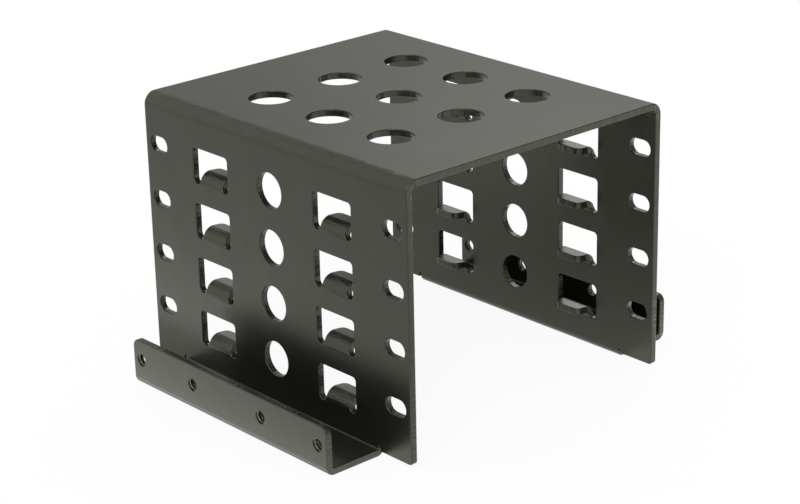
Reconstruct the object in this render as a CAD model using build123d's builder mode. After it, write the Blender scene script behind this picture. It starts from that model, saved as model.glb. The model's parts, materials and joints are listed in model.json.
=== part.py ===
"""Drive mounting frame, folded from one steel sheet.

It stacks four small drives between two side walls and screws into a large
drive bay by the rails at its feet. The sheet is modelled as its panels: the
top, the walls, the rails and the support tabs, each ending where a relief cut
or a plain stretch of sheet lets it meet its neighbour face to face.

X runs across the bay, Y from the open front to the rear, Z up.
The origin is on the underside of the rails, at the middle of the frame.
"""
import os

from build123d import *

# The sheet and its folds
sheet = 1.6                # thickness of the coated steel
top_bend_radius = 1.3      # inside radius where the top turns down
rail_bend_radius = 0.4     # inside radius of both folds of a rail
tab_bend_radius = 1.1      # inside radius where a tab turns in

# What the frame carries, and the bay that it fits
drive_width = 69.85        # small drive, over its sides
drive_play = 0.55          # side play of the drive, both sides together
bay_width = 101.6          # large bay, over the tapped faces of the rails

# Drive tiers, counted from the lowest
tier_count = 4
tier_pitch = 12.7
lowest_slot_height = 13.0  # lowest screw slots above the underside
top_slot_drop = 11.1       # highest screw slots below the top
drive_screw_height = 3.0   # side screws of a drive above its underside

# Screw slots of the drives
slot_spacing = 76.6        # front to rear screws of a drive
slot_margin = 4.5          # slot centre to the front or rear edge
slot_length = 6.0
slot_height = 3.7

# Vent holes
wall_vent_diameter = 7.9
wall_vent_drop = 1.3       # vent centre below its slots
top_vent_diameter = 9.8
top_vent_pitch_x = 19.8
top_vent_pitch_y = 19.5
top_vent_count = 3         # along each direction

# Windows and the support tabs cut from them
window_spacing = 40.0      # front column to rear column
window_rise = 2.35         # upper edge of a window above its slots
window_corner_radius = 0.9
tab_width = 7.6            # across the foot of a tab
tab_tip_width = 6.6        # across its tip, between the rounded corners
tab_corner_radius = 1.4
tab_reach = 3.6            # tip beyond the wall's inner face
notch_width = 2.1          # round relief at each side of a tab's foot
notch_undercut = 0.1       # notch bottom below the start of the bend

# Rails
rail_height = 10.9
rail_end_margin = 2.8      # outer tapped hole to the rail's end
rail_corner_radius = 1.8
tapped_bore = 2.85         # bore of the tapped holes
tapped_height = 6.35       # hole centre above the underside
outer_tapped_spacing = 60.0
inner_tapped_spacing = 23.2

# Where the walls end above the rails and below the top
bend_leg = 0.8             # straight stretch between the top's bend and the wall
rail_leg = 0.2             # straight stretch between a rail's bend and the wall
relief_width = 0.4         # cut that frees a rail's end from the wall
wall_foot_gap = 1.2        # free lower edge above the underside
wall_corner_radius = 0.8

# Worked out from the values above
wall_inner_x = (drive_width + drive_play) / 2
wall_outer_x = wall_inner_x + sheet
flange_outer_x = bay_width / 2
flange_inner_x = flange_outer_x - sheet
depth = slot_spacing + 2 * slot_margin
tier_heights = [lowest_slot_height + tier * tier_pitch for tier in range(tier_count)]
middle_height = (tier_heights[0] + tier_heights[-1]) / 2
height = tier_heights[-1] + top_slot_drop
wall_top_z = height - sheet - top_bend_radius - bend_leg
wall_foot_z = sheet + rail_bend_radius + rail_leg
rail_length = outer_tapped_spacing + 2 * rail_end_margin
tab_bend_drop = drive_screw_height + sheet + tab_bend_radius
tab_tip_x = wall_inner_x - tab_reach
notch_spacing = tab_width + notch_width
notch_rise = notch_width / 2 - notch_undercut  # notch centre above the start of the bend
taper_start_x = wall_inner_x - tab_bend_radius

COLUMNS = {"front": -1, "rear": 1}


def make_top_panel():
    """Top with its rows of vents and the folded shoulder at each side."""
    with BuildPart() as panel:
        with BuildSketch(Plane.XZ):
            with BuildLine():
                FilletPolyline(
                    (-wall_inner_x, wall_top_z),
                    (-wall_inner_x, height - sheet),
                    (wall_inner_x, height - sheet),
                    (wall_inner_x, wall_top_z),
                    radius=top_bend_radius,
                )
                offset(amount=sheet, side=Side.LEFT)
            make_face()
        extrude(amount=depth / 2, both=True)
        with BuildSketch(Plane.XY.offset(height)):
            with GridLocations(top_vent_pitch_x, top_vent_pitch_y, top_vent_count, top_vent_count):
                Circle(top_vent_diameter / 2)
        extrude(amount=-sheet, mode=Mode.SUBTRACT)
    return panel.part


def make_window_outline():
    """Window of one tab, measured from the screw slots of its tier.

    Its lower edge is where the tab's bend starts, between two round notches.
    """
    with BuildSketch() as window:
        with Locations((0, window_rise)):
            Rectangle(
                tab_width + 2 * notch_width,
                window_rise + tab_bend_drop - notch_rise,
                align=(Align.CENTER, Align.MAX),
            )
        fillet(window.vertices().group_by(Axis.Y)[-1], window_corner_radius)
        with Locations((0, -tab_bend_drop)):
            Rectangle(
                notch_spacing,
                notch_rise,
                align=(Align.CENTER, Align.MIN),
            )
        with Locations((0, notch_rise - tab_bend_drop)):
            with GridLocations(notch_spacing, 0, 2, 1):
                Circle(notch_width / 2)
    return window.sketch


def make_left_wall():
    """Flat wall with its screw slots, vents and windows."""
    window = make_window_outline()
    relief_end = rail_length / 2 + relief_width
    with BuildPart() as wall:
        with BuildSketch(Plane.YZ.offset(-wall_outer_x)) as face:
            with BuildLine():
                Polyline(
                    (-depth / 2, wall_top_z),
                    (-depth / 2, wall_foot_gap),
                    (-relief_end, wall_foot_gap),
                    (-relief_end, wall_foot_z),
                    (relief_end, wall_foot_z),
                    (relief_end, wall_foot_gap),
                    (depth / 2, wall_foot_gap),
                    (depth / 2, wall_top_z),
                    close=True,
                )
            make_face()
            foot_corners = face.vertices().group_by(Axis.Y)[0].sort_by(Axis.X)
            fillet([foot_corners[0], foot_corners[-1]], wall_corner_radius)
            with Locations((0, wall_foot_z)):
                with GridLocations(rail_length + relief_width, 0, 2, 1):
                    Circle(relief_width / 2, mode=Mode.SUBTRACT)
            with Locations((0, middle_height)):
                with GridLocations(slot_spacing, tier_pitch, 2, tier_count):
                    SlotOverall(slot_length, slot_height, mode=Mode.SUBTRACT)
                with GridLocations(window_spacing, tier_pitch, 2, tier_count):
                    add(window, mode=Mode.SUBTRACT)
            with Locations((0, middle_height - wall_vent_drop)):
                with GridLocations(0, tier_pitch, 1, tier_count):
                    Circle(wall_vent_diameter / 2, mode=Mode.SUBTRACT)
        extrude(amount=sheet)
    return wall.part


def make_left_rail():
    """Foot of the wall, turned out to a floor and up to a tapped flange."""
    with BuildPart() as rail:
        with BuildSketch(Plane.XZ):
            with BuildLine():
                FilletPolyline(
                    (-wall_outer_x, wall_foot_z),
                    (-wall_outer_x, sheet),
                    (-flange_inner_x, sheet),
                    (-flange_inner_x, rail_height),
                    radius=rail_bend_radius,
                )
                offset(amount=sheet, side=Side.LEFT)
            make_face()
        extrude(amount=rail_length / 2, both=True)
        fillet(rail.edges().filter_by(Axis.X).group_by(Axis.Z)[-1], rail_corner_radius)
        with BuildSketch(Plane.YZ.offset(-flange_outer_x)):
            with Locations((0, tapped_height)):
                for spacing in (outer_tapped_spacing, inner_tapped_spacing):
                    with GridLocations(spacing, 0, 2, 1):
                        Circle(tapped_bore / 2)
        extrude(amount=sheet, mode=Mode.SUBTRACT)
    return rail.part


def make_left_tab(column, tier_height):
    """Tab folded in from the foot of its window, narrowing to a rounded tip."""
    centre_y = COLUMNS[column] * window_spacing / 2
    bend_start_z = tier_height - tab_bend_drop
    with BuildPart() as tab:
        with BuildSketch(Plane.XZ.offset(-centre_y)):
            with BuildLine():
                bend = JernArc((-wall_inner_x, bend_start_z), (0, 1), tab_bend_radius, -90)
                Line(bend @ 1, (-tab_tip_x, bend_start_z + tab_bend_radius))
                offset(amount=sheet, side=Side.LEFT)
            make_face()
        extrude(amount=notch_spacing / 2, both=True)

        # Outline from the side: the foot spreads round the notches
        with BuildSketch(Plane.YZ.offset(-wall_outer_x)):
            with Locations((centre_y, bend_start_z)):
                Rectangle(tab_width, tab_bend_radius + sheet, align=(Align.CENTER, Align.MIN))
                Rectangle(notch_spacing, notch_rise, align=(Align.CENTER, Align.MIN))
            with Locations((centre_y, bend_start_z + notch_rise)):
                with GridLocations(notch_spacing, 0, 2, 1):
                    Circle(notch_width / 2, mode=Mode.SUBTRACT)
        extrude(amount=sheet + tab_reach, mode=Mode.INTERSECT)

        # Outline from above: the sides close in from the bend to the tip
        with BuildSketch(Plane.XY.offset(bend_start_z)) as plan:
            with BuildLine():
                Polyline(
                    (-taper_start_x, centre_y - tab_width / 2),
                    (-tab_tip_x, centre_y - tab_tip_width / 2),
                    (-tab_tip_x, centre_y + tab_tip_width / 2),
                    (-taper_start_x, centre_y + tab_width / 2),
                    close=True,
                )
            make_face()
            fillet(plan.vertices().group_by(Axis.X)[-1], tab_corner_radius)
            with Locations((-wall_outer_x, centre_y)):
                Rectangle(
                    wall_outer_x - taper_start_x,
                    notch_spacing,
                    align=(Align.MIN, Align.CENTER),
                )
        extrude(amount=tab_bend_radius + sheet, mode=Mode.INTERSECT)
    return tab.part


def mirrored(left_piece):
    """The right-hand twin of a left-hand piece."""
    with BuildPart() as twin:
        add(left_piece)
        mirror(about=Plane.YZ, mode=Mode.REPLACE)
    return twin.part


def make_pieces():
    """Every piece of the frame by name, the right side mirrored from the left."""
    left_pieces = {"side_wall": make_left_wall(), "mounting_rail": make_left_rail()}
    for column in COLUMNS:
        for tier, tier_height in enumerate(tier_heights, start=1):
            left_pieces[f"{column}_support_tab_{tier}"] = make_left_tab(column, tier_height)
    pieces = {"top_panel": make_top_panel()}
    for name, piece in left_pieces.items():
        pieces[f"left_{name}"] = piece
        pieces[f"right_{name}"] = mirrored(piece)
    return pieces


os.makedirs("parts", exist_ok=True)
for piece_name, finished_piece in make_pieces().items():
    finished_piece.label = piece_name
    export_step(finished_piece, f"parts/{piece_name}.step")
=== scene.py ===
"""Looks of the drive mounting frame: one folded sheet of steel with a dark satin coat.

The panels, rails and tabs of the frame stay as they come from model.glb. Here they get
softly rounded cut edges, the coat with its grain and punching marks, and the
bare threads of the tapped holes. Lengths are in metres, as in the frame.
"""
import json
import math

import bpy
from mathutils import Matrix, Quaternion, Vector


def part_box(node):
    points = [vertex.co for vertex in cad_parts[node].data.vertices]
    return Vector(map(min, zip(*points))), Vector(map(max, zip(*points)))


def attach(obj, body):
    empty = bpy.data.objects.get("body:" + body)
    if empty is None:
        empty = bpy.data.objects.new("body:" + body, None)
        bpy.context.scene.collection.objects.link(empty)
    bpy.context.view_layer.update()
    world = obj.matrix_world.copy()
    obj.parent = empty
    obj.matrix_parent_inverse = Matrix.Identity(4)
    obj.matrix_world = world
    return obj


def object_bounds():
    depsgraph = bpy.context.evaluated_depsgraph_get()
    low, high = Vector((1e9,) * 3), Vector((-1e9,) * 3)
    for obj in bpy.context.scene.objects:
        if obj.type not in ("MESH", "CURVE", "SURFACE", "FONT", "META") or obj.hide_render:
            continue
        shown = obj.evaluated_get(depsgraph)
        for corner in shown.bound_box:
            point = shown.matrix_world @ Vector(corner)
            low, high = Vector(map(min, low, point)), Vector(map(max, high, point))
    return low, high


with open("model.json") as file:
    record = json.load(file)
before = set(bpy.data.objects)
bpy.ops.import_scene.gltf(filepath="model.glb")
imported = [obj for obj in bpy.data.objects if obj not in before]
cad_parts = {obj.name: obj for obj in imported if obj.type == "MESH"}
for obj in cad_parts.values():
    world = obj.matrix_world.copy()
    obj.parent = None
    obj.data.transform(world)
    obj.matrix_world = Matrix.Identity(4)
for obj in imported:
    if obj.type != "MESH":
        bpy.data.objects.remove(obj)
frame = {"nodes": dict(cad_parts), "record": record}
cad_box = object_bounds()

MM = 0.001

# The sheet and its folds
wall_inner_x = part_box("right_side_wall")[0].x
wall_outer_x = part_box("right_side_wall")[1].x
sheet = wall_outer_x - wall_inner_x
top_bend_radius = 1.3 * MM     # inside radius where the top turns down
tab_bend_radius = 1.1 * MM     # inside radius where a tab turns in

# Cut faces and their rounded edges
sheet_play = 0.05 * MM         # a face isn't cut if the sheet's other side is this exactly behind it
ray_start = 0.01 * MM          # the search for the other side starts this far inside
up_limit = 0.99                # a face looks up if its normal rises by this share
edge_round = 0.22 * MM         # radius of the coated cut edges
edge_segments = 3
cut_turn = math.radians(35)    # an edge that turns more than this is cut
weld_gap = 0.001 * MM          # points closer than this are one
flat_turn = math.radians(0.4)  # faces that turn less than this are one

# Where the panels of the sheet meet
top_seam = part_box("top_panel")[0].z
foot_seam = 2.2 * MM           # a rail's leg meets the wall here
tab_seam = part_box("left_front_support_tab_1")[0].z
tier_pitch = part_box("left_front_support_tab_2")[0].z - tab_seam
seam_reach = 0.01 * MM         # how near a seam an edge has to be to lie on it

# Tapped holes of the rails and their threads
mounts = {mount["name"]: mount for mount in frame["record"]["mounts"]}
outer_holes = mounts["right_rail_outer_tapped_holes"]
inner_holes = mounts["right_rail_inner_tapped_holes"]
tapped_height = outer_holes["pos_m"][2]
tapped_bore = 2 * outer_holes["dims"]["hole_r_mm"] * MM
outer_tapped_spacing = outer_holes["dims"]["spacing_x_mm"] * MM
inner_tapped_spacing = inner_holes["dims"]["spacing_x_mm"] * MM
flange_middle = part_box("right_mounting_rail")[1].x - sheet / 2
thread_pitch = 0.79 * MM
thread_depth = 0.15 * MM       # crest inside the bore
thread_base = 0.62 * MM        # width of a thread's ridge at the bore
thread_root = 0.02 * MM        # the ridge starts this far inside the bore's wall
thread_steps = 40              # points for each turn
thread_length = sheet - 0.02 * MM
thread_end = 0.02              # share of the ridge that is left at its ends
ridge_corners = (              # shares of the ridge's height and of its base
    ("Point 1", 0.0, 0.5),
    ("Point 2", 1.0, 0.08),
    ("Point 3", 1.0, -0.08),
    ("Point 4", 0.0, -0.5),
)

# Colours of the even coat, of the coat on torn cut faces and of the bare threads
even_dark = (0.0062, 0.0064, 0.0054, 1)
even_light = (0.0098, 0.0100, 0.0088, 1)
torn_dark = (0.005, 0.005, 0.005, 1)
torn_light = (0.022, 0.022, 0.020, 1)
steel_dark = (0.06, 0.06, 0.055, 1)
steel_light = (0.24, 0.23, 0.21, 1)

# Gloss, each roughness from its smoothest to its roughest spots
satin_rough = (0.27, 0.35)
burnished_rough = (0.10, 0.32)
steel_rough = (0.22, 0.42)
coat_ior = 1.5
coat_mirror_tint = (0.93, 1.0, 0.72, 1)
rubbed_ior = 1.9
rubbed_rough = 0.3

# Relief of the coat
slow_waves = (0.5, 0.6 * MM)   # strength and depth of the waves that bend its reflections
fine_grain = (0.25, 0.02 * MM)  # strength and depth of the sprayed grain
smear_strength = 0.8
streak_strength = 0.45

# The coat on the walls and rails, on the top and on the tabs. The streaks of the cut
# faces run through the sheet, and the coat is smeared where the sheet was folded.
coat_looks = {
    "black_coat": {
        "across": (0.12, 1.0, 1.0),
        "streak_depth": 0.6 * MM,
    },
    "black_coat_top": {
        "across": (1.0, 1.0, 0.12),
        "streak_depth": 0.35 * MM,
        "fold_start": wall_inner_x - top_bend_radius,
        "smear_size": 1.3 * MM,
        "smear_depth": 0.45 * MM,
    },
    "black_coat_tab": {
        "across": (1.0, 1.0, 0.12),
        "streak_depth": 0.35 * MM,
        "fold_start": wall_inner_x - tab_bend_radius,
        "smear_size": 0.6 * MM,
        "smear_depth": 0.3 * MM,
        "rub": 0.7,                    # the drives rub the tops of the tabs to a shine
    },
}

# Floor
floor_size = 6.0
floor_drop = 0.02 * MM         # the floor lies this far below the rails
floor_shade = (0.92, 0.92, 0.92, 1)
floor_rough = 0.8
floor_gloss = 0.2
share_seen = 0.92              # how much of the floor is plain white to the camera
share_mirrored = 0.6           # how much of it is the painted glow in the coat's mirror, rather than its shading
side_edge = cad_box[1].x
front_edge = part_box("left_mounting_rail")[0].y
side_reach = 17.0 * MM         # the painted glow on the floor beside the rails fades over this distance
front_reach = 30.0 * MM        # and the painted glow in front of them over this one
# Painted glow: in mirrored rays the floor shines brighter than white beside, in front of and right of the
# rails, a pool of light that no lamp casts.
far_glow = 0.92               # painted glow of the floor in mirrored rays: far off and inside the frame
beside_glow = 3.3             # close beside the rails
front_glow = 2.6              # close in front of them
right_glow = 1.7              # under the right wall and past it

# World and lamps
world_tint = (0.99, 1.0, 0.94, 1)
world_level = 0.8
white_behind = 1.15            # enough for plain white in spite of the tint
mirrored_left = 1.3            # brightness of the world in the coat's mirror, on the left
mirrored_right = 0.55          # and on the right
mirrored_span = (-0.4, 0.48)   # X of the directions between which it changes
lamp_target = Vector((0, 0, 0.03))
lamp_size = 0.8
lamps = (                      # name, place and watts
    ("key_softbox", Vector((-0.9, -0.6, 0.9)), 8.0),
    ("rear_softbox", Vector((1.02, 0.66, 1.08)), 5.0),
)

# Camera
camera_place = Vector((-310.9, -348.3, 204.9)) * MM
camera_target = Vector((-1.4, -0.9, 26.8)) * MM
camera_roll = math.radians(-1.26)
camera_lens = 101.36           # millimetres of focal length
camera_sensor = 36.0           # millimetres of width
camera_clip = 10.0 * MM


def set_inputs(node, values):
    """Sets a node's unlinked inputs by name or number."""
    for key, value in values.items():
        node.inputs[key].default_value = value


def add(tree, kind, values=None, **settings):
    """A new node of a tree, with its settings and its unlinked inputs."""
    node = tree.nodes.new(kind)
    for name, value in settings.items():
        setattr(node, name, value)
    set_inputs(node, values or {})
    return node


def feed(tree, node, sources):
    """Links or sets a node's inputs, by name or number."""
    for key, source in sources.items():
        if isinstance(source, bpy.types.NodeSocket):
            tree.links.new(source, node.inputs[key])
        else:
            node.inputs[key].default_value = source
    return node


def math_node(tree, operation, *operands):
    """A math node on links or numbers; gives its output."""
    node = add(tree, "ShaderNodeMath", operation=operation)
    return feed(tree, node, dict(enumerate(operands))).outputs[0]


def vector_node(tree, operation, *operands):
    """A vector math node on links or vectors; gives its output."""
    node = add(tree, "ShaderNodeVectorMath", operation=operation)
    return feed(tree, node, dict(enumerate(operands))).outputs[0]


def combined(tree, **parts):
    """A vector from its X, Y and Z, each a link or a number."""
    return feed(tree, add(tree, "ShaderNodeCombineXYZ"), parts).outputs[0]


def parts_of(tree, vector):
    """The X, Y and Z of a vector, by name."""
    return feed(tree, add(tree, "ShaderNodeSeparateXYZ"), {0: vector}).outputs


def between(tree, factor, low, high, start=0.0, end=1.0):
    """A number that goes from low to high while a factor goes from start to end."""
    ends = {"From Min": start, "From Max": end, "To Min": low, "To Max": high}
    node = add(tree, "ShaderNodeMapRange", ends)
    return feed(tree, node, {"Value": factor}).outputs[0]


def mixed_number(tree, factor, first, second):
    """A number that goes from the first to the second with a factor."""
    node = add(tree, "ShaderNodeMix", data_type="FLOAT")
    return feed(tree, node, {"Factor": factor, 2: first, 3: second}).outputs[0]


def mixed_colour(tree, factor, first, second):
    """A colour that goes from the first to the second with a factor."""
    node = add(tree, "ShaderNodeMix", data_type="RGBA")
    return feed(tree, node, {"Factor": factor, 6: first, 7: second}).outputs[2]


def new_tree(name, kind, inputs, outputs):
    """An empty node group with named sockets, its input node and its output node."""
    tree = bpy.data.node_groups.new(name, kind)
    for in_out, sockets in (("INPUT", inputs), ("OUTPUT", outputs)):
        for socket_name, socket_type, default in sockets:
            socket = tree.interface.new_socket(socket_name, in_out=in_out, socket_type=socket_type)
            if default is not None:
                socket.default_value = default
    return tree, tree.nodes.new("NodeGroupInput"), tree.nodes.new("NodeGroupOutput")


def store(tree, geometry, name, kind, domain, value):
    """Stores a value under a name on a mesh; gives the mesh."""
    node = add(tree, "GeometryNodeStoreNamedAttribute", {"Name": name})
    node.data_type = kind
    node.domain = domain
    return feed(tree, node, {"Geometry": geometry, "Value": value}).outputs[0]


def set_modifier_inputs(modifier, values):
    """Sets a Geometry Nodes modifier's inputs, found by name, through their identifiers."""
    for item in modifier.node_group.interface.items_tree:
        if item.item_type == "SOCKET" and item.in_out == "INPUT" and item.name in values:
            modifier[item.identifier] = values[item.name]


# Cut faces and rounded cut edges


def cut_face_tree():
    """Stores cut_face: 1 on faces that don't have the other side of the sheet right behind them.

    It stores rest_face too: 1 on the other faces that lie flat and look up.
    """
    tree, given, result = new_tree(
        "cut_faces",
        "GeometryNodeTree",
        [
            ("Geometry", "NodeSocketGeometry", None),
            ("Sheet", "NodeSocketFloat", sheet),
            ("Play", "NodeSocketFloat", sheet_play),
        ],
        [("Geometry", "NodeSocketGeometry", None)],
    )
    normal = add(tree, "GeometryNodeInputNormal").outputs[0]
    place = add(tree, "GeometryNodeInputPosition").outputs[0]
    inward = vector_node(tree, "MULTIPLY", normal, (-1.0, -1.0, -1.0))
    step = vector_node(tree, "MULTIPLY", inward, (ray_start, ray_start, ray_start))
    ray = feed(tree, add(tree, "GeometryNodeRaycast"), {
        "Target Geometry": given.outputs["Geometry"],
        "Source Position": vector_node(tree, "ADD", place, step),
        "Ray Direction": inward,
    })
    thickness_off = math_node(tree, "SUBTRACT", ray.outputs["Hit Distance"], given.outputs["Sheet"])
    apart = math_node(tree, "ABSOLUTE", thickness_off)
    is_cut = math_node(tree, "GREATER_THAN", apart, given.outputs["Play"])
    looks_up = math_node(tree, "GREATER_THAN", parts_of(tree, normal)["Z"], up_limit)
    is_rest = math_node(tree, "MULTIPLY", looks_up, math_node(tree, "SUBTRACT", 1.0, is_cut))
    cut_marked = store(tree, given.outputs["Geometry"], "cut_face", "FLOAT", "FACE", is_cut)
    feed(tree, result, {"Geometry": store(tree, cut_marked, "rest_face", "FLOAT", "FACE", is_rest)})
    return tree


def height_test(tree, height_of_ends, seam, reach):
    """True where both ends of an edge are at a seam's height."""
    apart = [math_node(tree, "ABSOLUTE", math_node(tree, "SUBTRACT", z, seam)) for z in height_of_ends]
    farther = math_node(tree, "MAXIMUM", *apart)
    return math_node(tree, "LESS_THAN", farther, reach)


def nearest_tab_seam(tree, given, height):
    """The height of the tab seam nearest to a height, one seam for each tier."""
    lowest = given.outputs["Lowest Tab Seam"]
    pitch = given.outputs["Tier Pitch"]
    above = math_node(tree, "SUBTRACT", height, lowest)
    tiers_up = math_node(tree, "ROUND", math_node(tree, "DIVIDE", above, pitch))
    return math_node(tree, "MULTIPLY_ADD", tiers_up, pitch, lowest)


def cut_edge_tree():
    """Marks the edges that were cut or punched, and leaves the seams between panels sharp."""
    tree, given, result = new_tree(
        "cut_edges",
        "GeometryNodeTree",
        [
            ("Geometry", "NodeSocketGeometry", None),
            ("Cut Turn", "NodeSocketFloat", cut_turn),
            ("Top Seam", "NodeSocketFloat", top_seam),
            ("Foot Seam", "NodeSocketFloat", foot_seam),
            ("Lowest Tab Seam", "NodeSocketFloat", tab_seam),
            ("Tier Pitch", "NodeSocketFloat", tier_pitch),
            ("Reach", "NodeSocketFloat", seam_reach),
        ],
        [("Geometry", "NodeSocketGeometry", None)],
    )
    ends = add(tree, "GeometryNodeInputMeshEdgeVertices")
    heights = [parts_of(tree, ends.outputs[end])["Z"] for end in ("Position 1", "Position 2")]
    on_seam = 0.0
    for seam in (
        given.outputs["Top Seam"],
        given.outputs["Foot Seam"],
        nearest_tab_seam(tree, given, heights[0]),
    ):
        at_seam = height_test(tree, heights, seam, given.outputs["Reach"])
        on_seam = math_node(tree, "MAXIMUM", on_seam, at_seam)

    turn = add(tree, "GeometryNodeInputMeshEdgeAngle")
    turned = math_node(tree, "GREATER_THAN", turn.outputs["Unsigned Angle"], given.outputs["Cut Turn"])
    is_cut = math_node(tree, "MULTIPLY", turned, math_node(tree, "SUBTRACT", 1.0, on_seam))
    is_seam = math_node(tree, "MULTIPLY", turned, on_seam)
    smooth = feed(tree, add(tree, "GeometryNodeSetShadeSmooth"), {"Geometry": given.outputs["Geometry"]})
    weighted = store(tree, smooth.outputs[0], "bevel_weight_edge", "FLOAT", "EDGE", is_cut)
    feed(tree, result, {"Geometry": store(tree, weighted, "sharp_edge", "BOOLEAN", "EDGE", is_seam)})
    return tree


def round_cut_edges(panel, face_marks, edge_marks):
    """Rounds a panel's cut edges as the coat does; its seams to other panels stay closed."""
    faces = panel.modifiers.new("cut_faces", "NODES")
    faces.node_group = face_marks
    weld = panel.modifiers.new("one_skin", "WELD")
    weld.merge_threshold = weld_gap
    planar = panel.modifiers.new("flat_faces", "DECIMATE")
    planar.decimate_type = "DISSOLVE"
    planar.angle_limit = flat_turn
    edges = panel.modifiers.new("cut_edges", "NODES")
    edges.node_group = edge_marks
    rounding = panel.modifiers.new("rounded_edges", "BEVEL")
    rounding.limit_method = "WEIGHT"
    rounding.width = edge_round
    rounding.segments = edge_segments
    rounding.use_clamp_overlap = False
    rounding.loop_slide = False
    shading = panel.modifiers.new("even_shading", "WEIGHTED_NORMAL")
    shading.keep_sharp = True


# Threads of the tapped holes


def thread_helix(tree, given):
    """The path of a thread's root: a helix that turns about Z."""
    radius = given.outputs["Root Radius"]
    length = given.outputs["Length"]
    helix = feed(tree, add(tree, "GeometryNodeCurveSpiral"), {
        "Resolution": given.outputs["Steps"],
        "Rotations": math_node(tree, "DIVIDE", length, given.outputs["Pitch"]),
        "Start Radius": radius,
        "End Radius": radius,
        "Height": length,
    })
    upright = add(tree, "GeometryNodeSetCurveNormal")
    upright.mode = "Z_UP"
    return feed(tree, upright, {0: helix.outputs[0]}).outputs[0]


def ridge_fade(tree, given):
    """The ridge's scale along the helix: it fades where its full base would pass a face of the flange."""
    along = add(tree, "GeometryNodeSplineParameter").outputs["Factor"]
    from_middle = math_node(tree, "ABSOLUTE", math_node(tree, "SUBTRACT", along, 0.5))
    from_end = math_node(tree, "SUBTRACT", 0.5, from_middle)
    to_face = math_node(tree, "MULTIPLY", from_end, given.outputs["Length"])
    half_base = math_node(tree, "DIVIDE", given.outputs["Ridge Base"], 2.0)
    fade = math_node(tree, "MAXIMUM", math_node(tree, "DIVIDE", to_face, half_base), thread_end)
    return math_node(tree, "MINIMUM", fade, 1.0)


def ridge_profile(tree, given):
    """The ridge's section: its base on the helix and a narrow flat crest inside the bore."""
    ridge = add(tree, "GeometryNodeCurvePrimitiveQuadrilateral", mode="POINTS")
    for corner_name, in_share, along_share in ridge_corners:
        corner = combined(
            tree,
            X=math_node(tree, "MULTIPLY", given.outputs["Ridge Height"], in_share),
            Y=math_node(tree, "MULTIPLY", given.outputs["Ridge Base"], along_share),
        )
        feed(tree, ridge, {corner_name: corner})
    return ridge.outputs[0]


def laid_along_bore(tree, thread, length):
    """A thread moved to the middle of its length and turned from Z to X."""
    down = combined(tree, Z=math_node(tree, "MULTIPLY", length, -0.5))
    centred = add(tree, "GeometryNodeTransform")
    feed(tree, centred, {"Geometry": thread, "Translation": down})
    turned = add(tree, "GeometryNodeTransform")
    feed(tree, turned, {"Geometry": centred.outputs[0], "Rotation": (0.0, math.pi / 2, 0.0)})
    return turned.outputs[0]


def tapped_places(tree, given):
    """The middles of the tapped holes in one flange, two at each spacing."""
    places = add(tree, "GeometryNodeJoinGeometry")
    for spacing in (given.outputs["Outer Spacing"], given.outputs["Inner Spacing"]):
        first = combined(
            tree,
            X=given.outputs["Flange Middle"],
            Y=math_node(tree, "MULTIPLY", spacing, -0.5),
            Z=given.outputs["Height"],
        )
        pair = add(tree, "GeometryNodeMeshLine", {"Count": 2}, mode="OFFSET")
        feed(tree, pair, {"Start Location": first, "Offset": combined(tree, Y=spacing)})
        tree.links.new(pair.outputs[0], places.inputs[0])
    return places.outputs[0]


def thread_tree(material):
    """The ridges of four tapped holes in one flange, each a helix that fades out at both faces."""
    tree, given, result = new_tree(
        "tapped_threads",
        "GeometryNodeTree",
        [
            ("Geometry", "NodeSocketGeometry", None),
            ("Flange Middle", "NodeSocketFloat", flange_middle),
            ("Height", "NodeSocketFloat", tapped_height),
            ("Outer Spacing", "NodeSocketFloat", outer_tapped_spacing),
            ("Inner Spacing", "NodeSocketFloat", inner_tapped_spacing),
            ("Length", "NodeSocketFloat", thread_length),
            ("Root Radius", "NodeSocketFloat", tapped_bore / 2 + thread_root),
            ("Ridge Height", "NodeSocketFloat", thread_depth + thread_root),
            ("Ridge Base", "NodeSocketFloat", thread_base),
            ("Pitch", "NodeSocketFloat", thread_pitch),
            ("Steps", "NodeSocketInt", thread_steps),
        ],
        [("Geometry", "NodeSocketGeometry", None)],
    )
    swept = feed(tree, add(tree, "GeometryNodeCurveToMesh", {"Fill Caps": True}), {
        "Curve": thread_helix(tree, given),
        "Profile Curve": ridge_profile(tree, given),
        "Scale": ridge_fade(tree, given),
    })
    thread = laid_along_bore(tree, swept.outputs[0], given.outputs["Length"])
    holes = add(tree, "GeometryNodeInstanceOnPoints")
    feed(tree, holes, {"Points": tapped_places(tree, given), "Instance": thread})
    real = feed(tree, add(tree, "GeometryNodeRealizeInstances"), {0: holes.outputs[0]})
    dressed = add(tree, "GeometryNodeSetMaterial", {"Material": material})
    feed(tree, dressed, {"Geometry": real.outputs[0]})
    feed(tree, result, {"Geometry": dressed.outputs[0]})
    return tree


def make_threads(name, tree, middle):
    """One rail's threads as a plain mesh that moves with the frame."""
    maker = bpy.data.objects.new(name, bpy.data.meshes.new(name + "_start"))
    bpy.context.scene.collection.objects.link(maker)
    threads = maker.modifiers.new("threads", "NODES")
    threads.node_group = tree
    set_modifier_inputs(threads, {"Flange Middle": middle})
    view = bpy.context.evaluated_depsgraph_get()
    mesh = bpy.data.meshes.new_from_object(maker.evaluated_get(view))
    maker.modifiers.remove(threads)
    mesh.name = name
    maker.data = mesh
    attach(maker, "root")


# Finishes


def new_material(name):
    """An empty material with its node tree and its Principled surface."""
    material = bpy.data.materials.new(name)
    material.use_nodes = True
    return material, material.node_tree, material.node_tree.nodes["Principled BSDF"]


def object_place(tree):
    """Where a point of the surface lies on its piece."""
    return add(tree, "ShaderNodeTexCoord").outputs["Object"]


def mesh_mask(tree, name):
    """A mask that the mesh carries under a name."""
    return add(tree, "ShaderNodeAttribute", attribute_name=name).outputs["Fac"]


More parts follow.
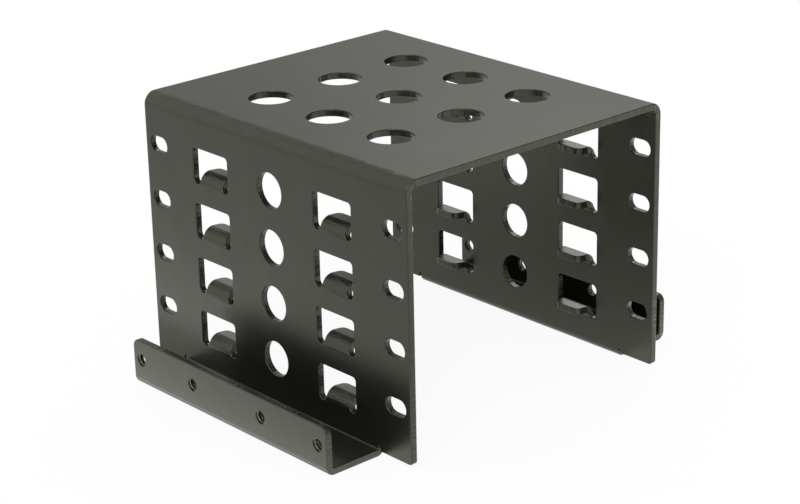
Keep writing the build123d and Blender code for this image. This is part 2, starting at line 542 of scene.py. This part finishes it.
def noise(tree, place, size, **values):
    """Soft lumps of one size; gives a value from 0 to 1."""
    node = add(tree, "ShaderNodeTexNoise", values)
    feed(tree, node, {"Vector": place, "Scale": math_node(tree, "DIVIDE", 1.0, size)})
    return node.outputs["Fac"]


def grain_group():
    """Grain of a sprayed coat: a fine height and a slow drift, both from 0 to 1."""
    tree, given, result = new_tree(
        "coat_grain",
        "ShaderNodeTree",
        [
            ("Vector", "NodeSocketVector", None),
            ("Peel Size", "NodeSocketFloat", 0.9 * MM),
            ("Grain Size", "NodeSocketFloat", 0.22 * MM),
            ("Drift Size", "NodeSocketFloat", 24.0 * MM),
            ("Grain Share", "NodeSocketFloat", 0.35),
        ],
        [("Height", "NodeSocketFloat", None), ("Drift", "NodeSocketFloat", None)],
    )
    place = given.outputs["Vector"]
    peel = noise(tree, place, given.outputs["Peel Size"], Detail=2.0)
    specks = noise(tree, place, given.outputs["Grain Size"], Detail=2.0)
    drift = noise(tree, place, given.outputs["Drift Size"], Detail=3.0)
    height = mixed_number(tree, given.outputs["Grain Share"], peel, specks)
    feed(tree, result, {"Height": height, "Drift": drift})
    return tree


def shear_group():
    """Marks that a punch leaves on a cut face: streaks through the sheet, broken by patches."""
    tree, given, result = new_tree(
        "shear_marks",
        "ShaderNodeTree",
        [
            ("Vector", "NodeSocketVector", None),
            ("Across", "NodeSocketVector", None),
            ("Streak Size", "NodeSocketFloat", 1.0 * MM),
            ("Patch Size", "NodeSocketFloat", 1.8 * MM),
        ],
        [("Height", "NodeSocketFloat", None), ("Patches", "NodeSocketFloat", None)],
    )
    place = given.outputs["Vector"]
    drawn_out = vector_node(tree, "MULTIPLY", place, given.outputs["Across"])
    streaks = noise(tree, drawn_out, given.outputs["Streak Size"], Detail=3.0, Roughness=0.6)
    patches = noise(tree, place, given.outputs["Patch Size"], Detail=2.0)
    feed(tree, result, {"Height": streaks, "Patches": patches})
    return tree


def smear_group():
    """Smears of the coat along a fold, and a mask of the fold by the distance from the middle.

    The mask ends at the outer side of the wall, so nothing is smeared where a fold runs out into it.
    """
    tree, given, result = new_tree(
        "smeared_coat",
        "ShaderNodeTree",
        [
            ("Vector", "NodeSocketVector", None),
            ("Fold Start", "NodeSocketFloat", None),
            ("Fold End", "NodeSocketFloat", wall_outer_x),
            ("Edge", "NodeSocketFloat", 0.5 * MM),
            ("Smear Size", "NodeSocketFloat", None),
            ("Along", "NodeSocketVector", (1.0, 0.22, 1.0)),
        ],
        [("Height", "NodeSocketFloat", None), ("Mask", "NodeSocketFloat", None)],
    )
    place = given.outputs["Vector"]
    aside = math_node(tree, "ABSOLUTE", parts_of(tree, place)["X"])
    past_start = math_node(tree, "SUBTRACT", aside, given.outputs["Fold Start"])
    before_end = math_node(tree, "SUBTRACT", given.outputs["Fold End"], aside)
    inside = math_node(tree, "MINIMUM", past_start, before_end)
    mask = add(tree, "ShaderNodeClamp")
    feed(tree, mask, {"Value": math_node(tree, "DIVIDE", inside, given.outputs["Edge"])})
    drawn_out = vector_node(tree, "MULTIPLY", place, given.outputs["Along"])
    size = given.outputs["Smear Size"]
    smears = noise(tree, drawn_out, size, Detail=3.0, Roughness=0.55, Distortion=0.4)
    feed(tree, result, {"Height": smears, "Mask": mask.outputs[0]})
    return tree


def place_group(tree, group, sources):
    """A node group placed in a material, with its links and values; gives its outputs."""
    node = add(tree, "ShaderNodeGroup")
    node.node_tree = group
    return feed(tree, node, sources).outputs


def bumped(tree, height, strength, depth, below=None):
    """Relief of a height over the relief below it; gives the normal."""
    node = add(tree, "ShaderNodeBump")
    feed(tree, node, {"Height": height, "Strength": strength, "Distance": depth})
    if below:
        feed(tree, node, {"Normal": below})
    return node.outputs[0]


def smeared(tree, smear, look, below):
    """Relief of the smears along a fold over the relief below it; gives the normal."""
    marks = place_group(tree, smear, {
        "Vector": object_place(tree),
        "Fold Start": look["fold_start"],
        "Smear Size": look["smear_size"],
    })
    on_fold = math_node(tree, "MULTIPLY", marks["Mask"], smear_strength)
    return bumped(tree, marks["Height"], on_fold, look["smear_depth"], below)


def rub_flat_tops(tree, surface, share):
    """A shine on the flat faces that look up."""
    rest = mesh_mask(tree, "rest_face")
    feed(tree, surface, {"Coat Weight": math_node(tree, "MULTIPLY", rest, share)})
    set_inputs(surface, {"Coat IOR": rubbed_ior, "Coat Roughness": rubbed_rough})


def black_coat(name, groups, look):
    """Dark satin coat on steel, streaked where the sheet was cut and smeared along its folds."""
    material, tree, surface = new_material(name)
    place = object_place(tree)
    sprayed = place_group(tree, groups["grain"], {"Vector": place})
    marks = place_group(tree, groups["shear"], {"Vector": place, "Across": look["across"]})
    cut = mesh_mask(tree, "cut_face")
    even = mixed_colour(tree, sprayed["Drift"], even_dark, even_light)
    torn = mixed_colour(tree, marks["Patches"], torn_dark, torn_light)
    satin = between(tree, sprayed["Drift"], *satin_rough)
    burnished = between(tree, marks["Patches"], *burnished_rough)

    relief = bumped(tree, sprayed["Drift"], *slow_waves)
    relief = bumped(tree, sprayed["Height"], *fine_grain, relief)
    if "fold_start" in look:
        relief = smeared(tree, groups["smear"], look, relief)
    on_cut = math_node(tree, "MULTIPLY", cut, streak_strength)
    relief = bumped(tree, marks["Height"], on_cut, look["streak_depth"], relief)

    feed(tree, surface, {
        "Base Color": mixed_colour(tree, cut, even, torn),
        "Roughness": mixed_number(tree, cut, satin, burnished),
        "Normal": relief,
    })
    set_inputs(surface, {"IOR": coat_ior, "Specular Tint": coat_mirror_tint})
    if "rub" in look:
        rub_flat_tops(tree, surface, look["rub"])
    return material


def coat_of(node_name):
    """The name of a panel's coat."""
    if node_name == "top_panel":
        return "black_coat_top"
    return "black_coat_tab" if "support_tab" in node_name else "black_coat"


def thread_steel(shear):
    """Bare steel of a cut thread, with fine tool marks."""
    material, tree, surface = new_material("thread_steel")
    marks = place_group(tree, shear, {
        "Vector": object_place(tree),
        "Across": (1.0, 1.0, 1.0),
        "Streak Size": 0.2 * MM,
    })
    feed(tree, surface, {
        "Base Color": mixed_colour(tree, marks["Patches"], steel_dark, steel_light),
        "Roughness": between(tree, marks["Height"], *steel_rough),
    })
    set_inputs(surface, {"Metallic": 1.0})
    return material


# Floor, light and camera


def fading(tree, beyond, reach):
    """1 at an edge, less with the distance beyond it, and 0 on its near side."""
    falling = math_node(tree, "EXPONENT", math_node(tree, "DIVIDE", beyond, -reach))
    return math_node(tree, "MULTIPLY", falling, math_node(tree, "GREATER_THAN", beyond, 0.0))


def painted_floor_glow(tree):
    """Painted glow of the floor in mirrored rays, a pool of light brighter than white: most right beside
    the rails, less far off and inside.
    """
    place = parts_of(tree, object_place(tree))
    aside = math_node(tree, "SUBTRACT", math_node(tree, "ABSOLUTE", place["X"]), side_edge)
    ahead = math_node(tree, "SUBTRACT", front_edge, place["Y"])
    at_sides = between(tree, fading(tree, aside, side_reach), far_glow, beside_glow)
    in_front = between(tree, fading(tree, ahead, front_reach), far_glow, front_glow)
    to_the_right = between(tree, place["X"], far_glow, right_glow, 0.0, side_edge)
    elsewhere = math_node(tree, "MAXIMUM", in_front, to_the_right)
    return math_node(tree, "MAXIMUM", at_sides, elsewhere)


def pale_floor():
    """A floor that stays white in the picture and keeps the object's shadow; in mirrored rays it carries a
    painted glow, brighter than white around the rails.
    """
    material, tree, surface = new_material("pale_floor")
    set_inputs(surface, {
        "Base Color": floor_shade,
        "Roughness": floor_rough,
        "Specular IOR Level": floor_gloss,
    })
    rays = add(tree, "ShaderNodeLightPath").outputs
    # Painted glow: the floor emits light, brighter than white in mirrored rays beside and in front of the
    # rails, with no lamp there.
    glow = add(tree, "ShaderNodeEmission", {"Color": (1, 1, 1, 1)})
    feed(tree, glow, {"Strength": mixed_number(tree, rays["Is Camera Ray"], painted_floor_glow(tree), 1.0)})
    seen = math_node(tree, "MULTIPLY", rays["Is Camera Ray"], share_seen)
    mirrored = math_node(tree, "MULTIPLY", rays["Is Glossy Ray"], share_mirrored)
    white = math_node(tree, "MAXIMUM", seen, mirrored)
    mixed = add(tree, "ShaderNodeMixShader")
    feed(tree, mixed, {0: white, 1: surface.outputs[0], 2: glow.outputs[0]})
    feed(tree, tree.nodes["Material Output"], {"Surface": mixed.outputs[0]})
    return material


def make_floor():
    """A wide plain floor just under the rails."""
    half = floor_size / 2
    mesh = bpy.data.meshes.new("floor")
    corners = [(x, y, -floor_drop) for x, y in ((-half, -half), (half, -half), (half, half), (-half, half))]
    mesh.from_pydata(corners, [], [(0, 1, 2, 3)])
    floor = bpy.data.objects.new("floor", mesh)
    bpy.context.scene.collection.objects.link(floor)
    mesh.materials.append(pale_floor())


def light_world():
    """Even light all round; in the coat's mirror it dims toward the right; white behind the object."""
    world = bpy.data.worlds.new("white_studio")
    bpy.context.scene.world = world
    world.use_nodes = True
    tree = world.node_tree
    rays = add(tree, "ShaderNodeLightPath").outputs
    direction = parts_of(tree, add(tree, "ShaderNodeTexCoord").outputs["Generated"])
    mirrored = between(tree, direction["X"], mirrored_left, mirrored_right, *mirrored_span)
    level = mixed_number(tree, rays["Is Glossy Ray"], world_level, mirrored)
    behind = math_node(tree, "MULTIPLY", rays["Is Camera Ray"], white_behind)
    feed(tree, tree.nodes["Background"], {
        "Color": world_tint,
        "Strength": math_node(tree, "MAXIMUM", level, behind),
    })


def add_softbox(name, place, watts):
    """A square soft lamp that faces the frame."""
    lamp = bpy.data.lights.new(name, "AREA")
    lamp.shape = "SQUARE"
    lamp.size = lamp_size
    lamp.energy = watts
    lamp_object = bpy.data.objects.new(name, lamp)
    lamp_object.location = place
    lamp_object.rotation_mode = "QUATERNION"
    lamp_object.rotation_quaternion = (lamp_target - place).to_track_quat("-Z", "Y")
    bpy.context.scene.collection.objects.link(lamp_object)


def add_camera():
    """The photograph's point of view."""
    camera = bpy.data.cameras.new("camera")
    camera.lens = camera_lens
    camera.sensor_width = camera_sensor
    camera.clip_start = camera_clip
    camera_object = bpy.data.objects.new("camera", camera)
    bpy.context.scene.collection.objects.link(camera_object)
    level = (camera_target - camera_place).to_track_quat("-Z", "Y")
    camera_object.rotation_mode = "QUATERNION"
    camera_object.rotation_quaternion = level @ Quaternion((0, 0, 1), camera_roll)
    camera_object.location = camera_place
    bpy.context.scene.camera = camera_object


bpy.context.scene.view_settings.view_transform = "Standard"
groups = {"grain": grain_group(), "shear": shear_group(), "smear": smear_group()}
coats = {name: black_coat(name, groups, look) for name, look in coat_looks.items()}
face_marks = cut_face_tree()
edge_marks = cut_edge_tree()
for node_name, panel in frame["nodes"].items():
    panel.data.materials.clear()
    panel.data.materials.append(coats[coat_of(node_name)])
    round_cut_edges(panel, face_marks, edge_marks)
threads = thread_tree(thread_steel(groups["shear"]))
make_threads("left_rail_threads", threads, -flange_middle)
make_threads("right_rail_threads", threads, flange_middle)
make_floor()
light_world()
for lamp_name, lamp_place, lamp_watts in lamps:
    add_softbox(lamp_name, lamp_place, lamp_watts)
add_camera()
